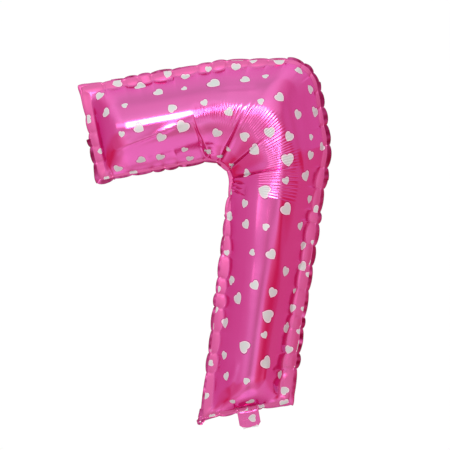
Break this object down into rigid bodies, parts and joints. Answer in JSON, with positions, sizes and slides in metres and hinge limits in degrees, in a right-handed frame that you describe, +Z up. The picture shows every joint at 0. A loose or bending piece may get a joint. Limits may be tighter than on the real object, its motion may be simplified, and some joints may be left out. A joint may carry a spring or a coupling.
{
  "type": "foil number balloon",
  "caption": "Inflated foil balloon in the shape of the digit 7, with a welded margin, corner ears and a flat inflation tail.",
  "frame": {"origin": "where the tail leaves the body at the middle of the digit's foot, on the weld plane: the place that a ribbon is tied round", "axes": "+Z up the digit as it is read, +X along the bar towards the corner of the digit, -Y out of the printed front"},
  "size_m": [0.547, 0.1824, 0.8347],
  "materials": {
    "printed_foil": "metallised pink film, printed with pale hearts",
    "welded_foil": "two metallised films heat-welded flat",
    "valve_film": "thin translucent film"
  },
  "bodies": {
    "balloon": {"front_panel": "printed_foil", "back_panel": "printed_foil", "neck_front_film": "printed_foil", "neck_back_film": "printed_foil", "perimeter_seam": "welded_foil", "hanging_tab": "welded_foil", "valve_front_film": "valve_film", "valve_back_film": "valve_film", "valve_side_welds": "valve_film"},
    "tail": {"tail_front_film": "printed_foil", "tail_back_film": "printed_foil", "tail_side_seals": "welded_foil", "valve_mouth_front": "valve_film", "valve_mouth_back": "valve_film"}
  },
  "joints": [
    {"name": "tail_fold", "type": "hinge", "parent": "balloon", "child": "tail", "pos_m": [0, 0, 0], "axis": [1, 0, 0], "range_deg": [-90, 90]}
  ]
}
